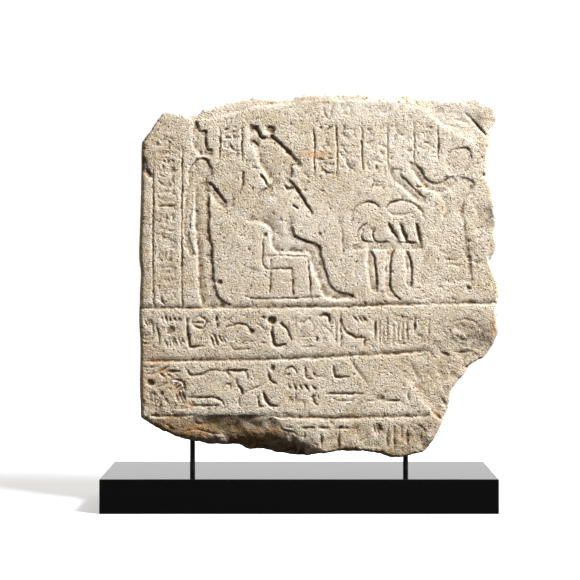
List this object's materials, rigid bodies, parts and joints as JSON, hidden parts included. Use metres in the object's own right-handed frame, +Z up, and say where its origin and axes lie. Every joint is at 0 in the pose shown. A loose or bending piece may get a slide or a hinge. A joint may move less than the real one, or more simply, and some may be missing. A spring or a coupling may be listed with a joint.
{
  "type": "carved stone stele",
  "caption": "Broken limestone stele with sunk-relief figures and worn rows of marks, held on slim rods above a low gloss-black base.",
  "frame": {"origin": "centre of the base's underside, on the surface that the object stands on", "axes": "+X to the right as seen from the carved face, +Y from the carved face to the back, +Z up"},
  "size_m": [0.4749, 0.14, 0.4985],
  "materials": {
    "limestone": "weathered, granular, matte, cream with rust and grey stains",
    "black_gloss": "polished black",
    "black_steel": "satin black"
  },
  "bodies": {
    "root": {"stele": "limestone", "base": "black_gloss", "left_rod": "black_steel", "right_rod": "black_steel"}
  },
  "joints": []
}
